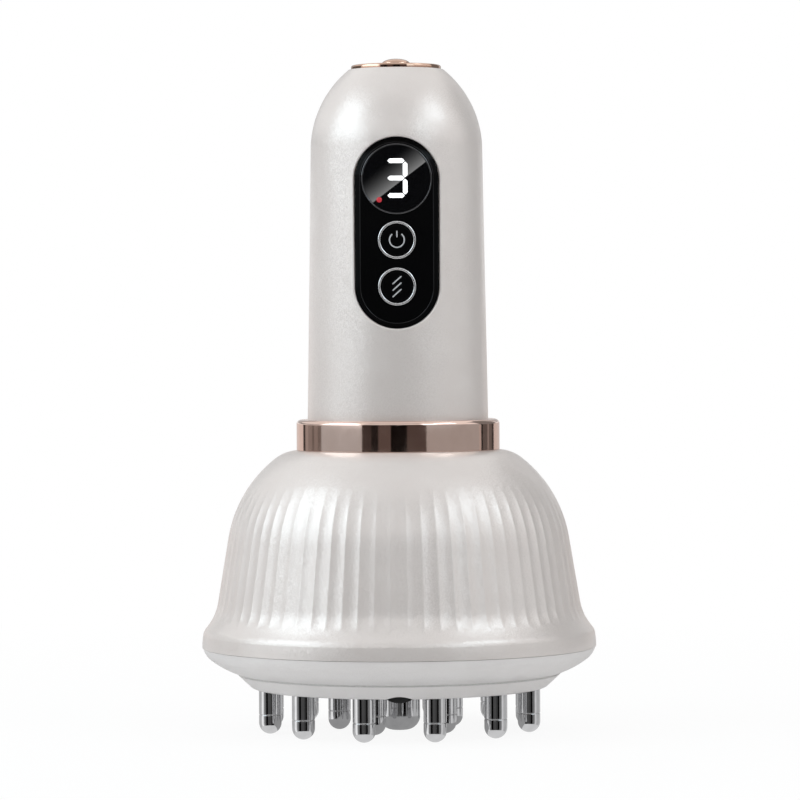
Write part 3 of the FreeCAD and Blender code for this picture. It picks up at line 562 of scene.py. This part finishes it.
shape = bmesh.new()
bmesh.ops.create_circle(shape, cap_ends=True, radius=charge_light_radius, segments=32)
drawn_out(shape, shape.faces[:], (0, 0, light_rise))
bmesh.ops.recalc_face_normals(shape, faces=shape.faces)
faced_forward(shape, display_level - charge_light_drop)
bmesh.ops.translate(shape, verts=shape.verts, vec=(charge_light_left, light_front, 0))
made_piece(shape, "charge_light", "housing", red_light, "lens_black")

# Key rings and keys: two satin chromed rings pressed into the panel, with a flat black key in each
# that clicks inwards, held by the flange behind it. The sign on each key is printed in white.
ring_outer = 5.0 * mm
ring_inner = 4.3 * mm
ring_round = 0.3 * mm
key_radius = 4.15 * mm
key_bevel = 0.3 * mm
key_edge = 0.08 * mm
key_flange_radius = 4.75 * mm
key_flange_front = -19.6 * mm
key_flange_back = -18.9 * mm
key_stem_radius = 2.0 * mm
key_levels = {}

satin_chrome, tree, shader, place = new_finish("satin_chrome", (0.80, 0.80, 0.81), 0.27, 1.0)
uneven_gloss(tree, shader, clouded(tree, place, 2.0 * mm, 3.0), 0.22, 0.32)

for key in ("power", "level"):
    low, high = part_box(key + "_ring")
    key_levels[key] = (low.z + high.z) / 2
    shape = bmesh.new()
    inside = shape.verts.new((ring_inner, 0, high.y))
    side = lathe_cut(shape, inside, (ring_inner, low.y + ring_round))
    side = lathe_round(shape, side, (ring_inner + ring_round, low.y + ring_round), steps=8)
    side = lathe_cut(shape, side, (ring_outer - ring_round, low.y))
    side = lathe_round(shape, side, (ring_outer - ring_round, low.y + ring_round), steps=8)
    side = lathe_cut(shape, side, (ring_outer, high.y))
    shape.edges.new((side, inside))
    turned(shape, steps=96)
    faced_forward(shape, key_levels[key])
    made_piece(shape, key + "_chrome_ring", "housing", satin_chrome, "chrome", key + "_ring")

    low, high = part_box(key + "_button")
    shape = bmesh.new()
    middle = shape.verts.new((0, 0, low.y))
    lathe_cut(shape, middle, (key_radius - key_bevel, low.y), (key_radius, low.y + key_bevel),
              (key_radius, key_flange_front), (key_flange_radius, key_flange_front),
              (key_flange_radius, key_flange_back), (key_stem_radius, key_flange_back),
              (key_stem_radius, high.y), (0, high.y))
    turned(shape, steps=72)
    faced_forward(shape, key_levels[key])
    key_face = made_piece(shape, key + "_key_face", key + "_key", panel_black, "panel_black",
                          key + "_button")
    broken_edges(key_face, key_edge)

print_rise = 0.03 * mm
print_rounding = 0.15 * mm
print_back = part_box("power_button")[0].y
print_front = print_back - print_rise
sign_radius = 1.94 * mm
sign_half = 0.17 * mm
sign_gap = 38
sign_stem_foot = 0.65 * mm
sign_stem_head = 2.4 * mm
stripe_pitch = 1.69 * mm
stripe_shift = -0.03 * mm
stripe_reach = Vector((1.16 * mm, 1.04 * mm))
stripe_side = Vector((-stripe_reach.y, stripe_reach.x)).normalized() * sign_half

printed_white, tree, shader, place = new_finish("printed_white", (0.50, 0.50, 0.51), 0.5)
ink = clouded(tree, place, 0.3 * mm)
uneven_colour(tree, shader, ink, (0.45, 0.45, 0.46), (0.54, 0.54, 0.55))

shape = bmesh.new()
inner = sign_radius - sign_half
outer = sign_radius + sign_half
rim = [(inner, print_front), (outer, print_front), (outer, print_back), (inner, print_back)]
end = shape.faces.new([shape.verts.new((radius, depth, 0)) for radius, depth in rim])
bmesh.ops.rotate(shape, verts=shape.verts, cent=(0, 0, 0),
                 matrix=Matrix.Rotation(radians(sign_gap - 90), 3, "Y"))
bmesh.ops.spin(shape, geom=[end] + list(end.edges) + list(end.verts), cent=(0, 0, 0),
               axis=(0, 1, 0), angle=radians(360 - 2 * sign_gap), steps=48)
bmesh.ops.recalc_face_normals(shape, faces=shape.faces)
stem = [(-sign_half, sign_stem_foot), (sign_half, sign_stem_foot),
        (sign_half, sign_stem_head), (-sign_half, sign_stem_head)]
flat_plate(shape, stem, print_front, print_back, print_rounding)
bmesh.ops.translate(shape, verts=shape.verts, vec=(0, 0, key_levels["power"]))
made_piece(shape, "power_sign", "power_key", printed_white, "panel_black")

shape = bmesh.new()
for step in (1, 0, -1):
    middle = Vector((stripe_shift, step * stripe_pitch))
    stripe = [middle - stripe_reach - stripe_side, middle + stripe_reach - stripe_side,
              middle + stripe_reach + stripe_side, middle - stripe_reach + stripe_side]
    flat_plate(shape, stripe, print_front, print_back, print_rounding)
bmesh.ops.translate(shape, verts=shape.verts, vec=(0, 0, key_levels["level"]))
made_piece(shape, "level_sign", "level_key", printed_white, "panel_black")

# End cap and its key: a disc plated in a deeper rose gold that closes the top of the handle, with a
# skirt that plugs into the shell, and the small domed key that stands in its middle and clicks
# downwards.
cap_radius = 12.0 * mm
cap_bore = 3.9 * mm
cap_round = 0.5 * mm
cap_edge = 0.1 * mm
cap_skirt_radius = 9.9 * mm
cap_skirt_bore = 8.4 * mm
cap_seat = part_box("handle_shell")[1].z
low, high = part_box("end_cap")

cap_gold = toned_copy(rose_gold, "cap_gold", (0.63, 0.425, 0.325), (0.66, 0.450, 0.350))

shape = bmesh.new()
bore = shape.verts.new((cap_bore, 0, high.z))
side = lathe_cut(shape, bore, (cap_bore, cap_seat), (cap_skirt_bore, cap_seat),
                 (cap_skirt_bore, low.z), (cap_skirt_radius, low.z),
                 (cap_skirt_radius, cap_seat), (cap_radius, cap_seat),
                 (cap_radius, high.z - cap_round))
side = lathe_round(shape, side, (cap_radius - cap_round, high.z - cap_round), steps=10)
shape.edges.new((side, bore))
turned(shape, steps=128)
cap = made_piece(shape, "plated_cap", "housing", cap_gold, "rose_gold", "end_cap")
broken_edges(cap, cap_edge)

dome_radius = 3.75 * mm
dome_rise = 1.35 * mm
dome_edge = 0.12 * mm
dome_flange_radius = 5.05 * mm
dome_stem_radius = 2.0 * mm
low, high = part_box("top_button")
dome_flange_low = low.z + 1.5 * mm
dome_flange_high = low.z + 2.3 * mm
dome_level = high.z - dome_rise

shape = bmesh.new()
foot = shape.verts.new((0, 0, low.z))
side = lathe_cut(shape, foot, (dome_stem_radius, low.z), (dome_stem_radius, dome_flange_low),
                 (dome_flange_radius, dome_flange_low), (dome_flange_radius, dome_flange_high),
                 (dome_radius, dome_flange_high), (dome_radius, dome_level))
below = shape.verts[:]
lathe_round(shape, side, (0, dome_level), steps=16)
bmesh.ops.scale(shape, verts=[point for point in shape.verts if point not in below],
                vec=(1, 1, dome_rise / dome_radius), space=Matrix.Translation((0, 0, -dome_level)))
turned(shape, steps=96)
dome = made_piece(shape, "plated_dome_key", "top_key", cap_gold, "rose_gold", "top_button")
broken_edges(dome, dome_edge)

# Studio: a pale floor in a white room, and boards bent round the brush, bright ones on both sides
# that light it and dark ones that give the metal its bands. Boards below the floor show only in
# the bright metal.
tray_radius = 0.9
floor_radius = 20
floor_level = -0.02 * mm
shadow_near, shadow_far = 0.06, 0.40
shadow_glow = 0.92
room_fill = 0.95
white = (1, 1, 1)
daylight = (0.82, 0.94, 1.0)
low_daylight = (0.91, 0.97, 1.0)
warm = (1, 0.90, 0.86)
rosy = (1, 0.8, 0.75)


def seen_directly(tree):
    """Tells the camera's rays and those off gloss or through glass from the rest."""
    rays = tree.nodes.new("ShaderNodeLightPath").outputs
    seen = rays["Is Camera Ray"]
    for kind in ("Is Glossy Ray", "Is Transmission Ray"):
        seen = worked_out(tree, "ShaderNodeMath", "MAXIMUM", seen, rays[kind])["Value"]
    return seen


def stood_in_studio(shape, name, finish):
    """Adds a shape to the scene for the studio, where it lights or mirrors in the brush."""
    stood = in_scene(shape, name, finish)
    return stood


def glowing(name, strength, tint=white):
    """An even glow, from nearly black to very bright."""
    finish = bpy.data.materials.new(name)
    finish.use_nodes = True
    tree = finish.node_tree
    tree.nodes.clear()
    out = tree.nodes.new("ShaderNodeOutputMaterial")
    light = tree.nodes.new("ShaderNodeEmission")
    light.inputs["Color"].default_value = (*tint, 1)
    light.inputs["Strength"].default_value = strength
    tree.links.new(light.outputs["Emission"], out.inputs["Surface"])
    return finish, tree, light


def swept_board(name, near, far, foot, head, strength, tint=white):
    """A board bent between two bearings, from its foot to its head as distance and height."""
    shape = bmesh.new()
    low = shape.verts.new((0, -foot[0], foot[1]))
    high = shape.verts.new((0, -head[0], head[1]))
    edge = shape.edges.new((low, high))
    bmesh.ops.rotate(shape, verts=shape.verts, cent=(0, 0, 0),
                     matrix=Matrix.Rotation(radians(near), 3, "Z"))
    bmesh.ops.spin(shape, geom=[low, high, edge], cent=(0, 0, 0), axis=(0, 0, 1),
                   angle=radians(far - near), steps=24)
    board = stood_in_studio(shape, name, glowing(name, strength, tint)[0])
    board.visible_camera = False
    return board


def board_row(name, stretches, foot, head, tint=white):
    """Boards side by side, each from its two bearings and its strength."""
    return [swept_board(name % number, near, far, foot, head, strength, tint)
            for number, (near, far, strength) in enumerate(stretches)]


def mirrored_only(board):
    """Leaves a board to be seen in the brush's bright metal, without lighting anything."""
    board.visible_diffuse = False
    board.visible_shadow = False
    board.visible_transmission = False
    board.data.materials[0].cycles.emission_sampling = "NONE"


floor_white, tree, shader, place = new_finish("floor_white", (0.92, 0.92, 0.92), 0.9)
shader.inputs["Specular IOR Level"].default_value = 0.0
uneven_height(tree, shader, clouded(tree, place, 3.0 * mm, 3.0), 0.01 * mm, 0.1)
way_off = worked_out(tree, "ShaderNodeVectorMath", "LENGTH", place)["Value"]
share = ranged(tree, way_off, (shadow_near, shadow_far), (shadow_glow, 1.0))
part_lit = worked_out(tree, "ShaderNodeMath", "MULTIPLY", seen_directly(tree), share)["Value"]
glow = tree.nodes.new("ShaderNodeEmission")
blend = tree.nodes.new("ShaderNodeMixShader")
tree.links.new(part_lit, blend.inputs["Fac"])
tree.links.new(shader.outputs["BSDF"], blend.inputs[1])
tree.links.new(glow.outputs["Emission"], blend.inputs[2])
tree.links.new(blend.outputs["Shader"], tree.nodes["Material Output"].inputs["Surface"])

shape = bmesh.new()
near = shape.verts.new((tray_radius, 0, floor_level))
far = shape.verts.new((floor_radius, 0, floor_level))
edge = shape.edges.new((near, far))
bmesh.ops.spin(shape, geom=[near, far, edge], cent=(0, 0, 0), axis=(0, 0, 1), angle=2 * pi,
               steps=64, use_merge=True)
stood_in_studio(shape, "floor", floor_white)
shape = bmesh.new()
bmesh.ops.create_circle(shape, cap_ends=True, radius=tray_radius, segments=64)
bmesh.ops.translate(shape, verts=shape.verts, vec=(0, 0, floor_level))
floor_middle = stood_in_studio(shape, "floor_middle", floor_white)
floor_middle.visible_glossy = False

side_lights = (
    ("left_low_light", -96, -41, (0.9, 0.0), (0.9, 0.12), 0.50, low_daylight),
    ("left_soft_light", -97, -41, (0.9, 0.12), (0.9, 0.22), 1.0, low_daylight),
    ("left_key_light", -97, -45, (0.9, 0.27), (0.9, 0.62), 2.85, daylight),
    ("left_top_light", -95, -54, (0.9, 0.62), (0.72, 0.88), 3.45, daylight),
    ("right_low_light", 32, 104, (0.9, 0.0), (0.9, 0.12), 0.40),
    ("right_soft_light", 32, 104, (0.9, 0.12), (0.9, 0.22), 0.55, low_daylight),
    ("right_key_light", 28, 46, (0.9, 0.27), (0.9, 0.45), 1.6, daylight),
    ("right_high_light", 28, 46, (0.9, 0.45), (0.9, 0.72), 2.85, daylight),
    ("right_top_light", 50, 77, (0.9, 0.62), (0.72, 0.88), 4.0, daylight),
    ("ceiling", -180, 180, (0.62, 1.10), (0.01, 1.25), 0.85),
)
for board in side_lights:
    swept_board(*board)

front_flags = ((-41, -30, 0.055), (-30, -22, 0.014), (-22, -8, 0.11), (-8, 10, 0.006),
               (10, 32, 0.085))
board_row("front_flag_%d", front_flags, (1.3, 0.0), (1.3, 0.55), rosy)
swept_board("front_upper_flag", -45, 32, (1.3, 1.02), (0.8, 1.25), 0.45)
side_flags = ((-180, -135, 0.74), (-135, -129, 0.05), (-129, -122, 0.36), (-122, -113, 0.26),
              (-113, -109, 0.17), (-109, -102, 0.26), (-102, -96, 0.17), (104, 107.5, 0.50),
              (107.5, 110.5, 0.0), (110.5, 121, 0.12), (121, 124, 0.32), (124, 132, 0.15),
              (132, 138, 0.05), (138, 180, 0.64))
board_row("side_flag_%02d", side_flags, (0.9, 0.0), (0.9, 0.12), warm)

cap_and_rear_boards = (
    ("left_cap_flag", -150, -100, (0.9, 0.20), (0.9, 0.29), 0.15),
    ("left_cap_light", -97, -41, (0.9, 0.22), (0.9, 0.27), 0.80, warm),
    ("right_cap_light", 28, 104, (0.9, 0.22), (0.9, 0.27), 0.42, warm),
    ("left_rear_flag", -150, -97, (0.92, 0.12), (0.92, 0.9), 0.88),
    ("right_rear_flag", 104, 146, (0.92, 0.12), (0.92, 0.9), 0.22),
    ("rear_flag", 150, 210, (1.2, 0.20), (1.15, 0.85), 0.50),
)
for board in cap_and_rear_boards:
    swept_board(*board)

pit_depth = -0.455
under_radius = 0.033
under_level = -0.01 * mm
hub = 0.001
pit_boards = ((-180, -125, 0.60), (-125, -105, 0.55), (-105, -91, 0.70), (-91, -78, 1.20),
              (-78, -66, 0.90), (-66, -50, 0.25), (-50, -42, 0.12), (-42, -24, 0.0),
              (-24, 5, 0.08), (5, 20, 0.05), (20, 36, 0.0), (36, 56, 0.20), (56, 64, 0.45),
              (64, 78, 0.80), (78, 91, 0.57), (91, 122, 0.52), (122, 180, 0.65))
pit_foot = (tray_radius, pit_depth)
mirrored = board_row("pit_board_%02d", pit_boards, pit_foot, (tray_radius, 0.0))
mirrored.append(swept_board("pit_card", -180, 180, pit_foot, (hub, pit_depth), 0.76))
# Painted shadow: a dim disc under the brush, seen only in the metal, stands for the floor's shadow
# there.
mirrored.append(swept_board("under_shadow_card", -180, 180, (under_radius, under_level),
                            (hub, under_level), 0.36))
for board in mirrored:
    mirrored_only(board)

world = bpy.data.worlds.new("white_room")
bpy.context.scene.world = world
world.use_nodes = True
tree = world.node_tree
background = tree.nodes["Background"]
background.inputs["Color"].default_value = (1, 1, 1, 1)
room_level = ranged(tree, seen_directly(tree), (0.0, 1.0), (room_fill, 1.0))
tree.links.new(room_level, background.inputs["Strength"])

# Window card: a small card just behind the camera, brightest along the straight edge that lies
# askew across the display's window and fading away from it.
edge_low = Vector((-0.0227, -1.08, 0.1687))
edge_high = Vector((0.0233, -1.08, 0.2038))
fade = Vector((-0.606, 0, 0.796))
fade_reach = 0.0134
fade_power = 2.2
fade_start = fade.dot(edge_low)
edge_glow = 4.9

card_glow, tree, light = glowing("window_card", edge_glow)
place = tree.nodes.new("ShaderNodeTexCoord").outputs["Object"]
across = worked_out(tree, "ShaderNodeVectorMath", "DOT_PRODUCT", place, fade)["Value"]
fading = ranged(tree, across, (fade_start, fade_start + fade_reach), (1.0, 0.0))
falling = worked_out(tree, "ShaderNodeMath", "POWER", fading, fade_power)["Value"]
full = worked_out(tree, "ShaderNodeMath", "MULTIPLY", falling, edge_glow)["Value"]
tree.links.new(full, light.inputs["Strength"])

shape = bmesh.new()
card = [edge_low, edge_high, edge_high + fade * fade_reach, edge_low + fade * fade_reach]
shape.faces.new([shape.verts.new(corner) for corner in card])
window_card = stood_in_studio(shape, "window_card", card_glow)
window_card.visible_camera = False

# Camera: level with the brush's waist, a metre off with a long lens, looking slightly down and
# leaning a third of a degree as the picture does.
sensor_width = 36
picture_pixels = 800
focal_pixels = 3950
look_down = 0.929
side_lean = 0.33
camera = bpy.data.objects.new("camera", bpy.data.cameras.new("camera"))
camera.data.sensor_width = sensor_width
camera.data.lens = sensor_width * focal_pixels / picture_pixels
camera.location = (0.00067, -1.055, 0.1052)
camera.rotation_euler = (radians(90 - look_down), radians(side_lean), 0)
bpy.context.scene.collection.objects.link(camera)
bpy.context.scene.camera = camera
bpy.context.scene.view_settings.view_transform = "Standard"
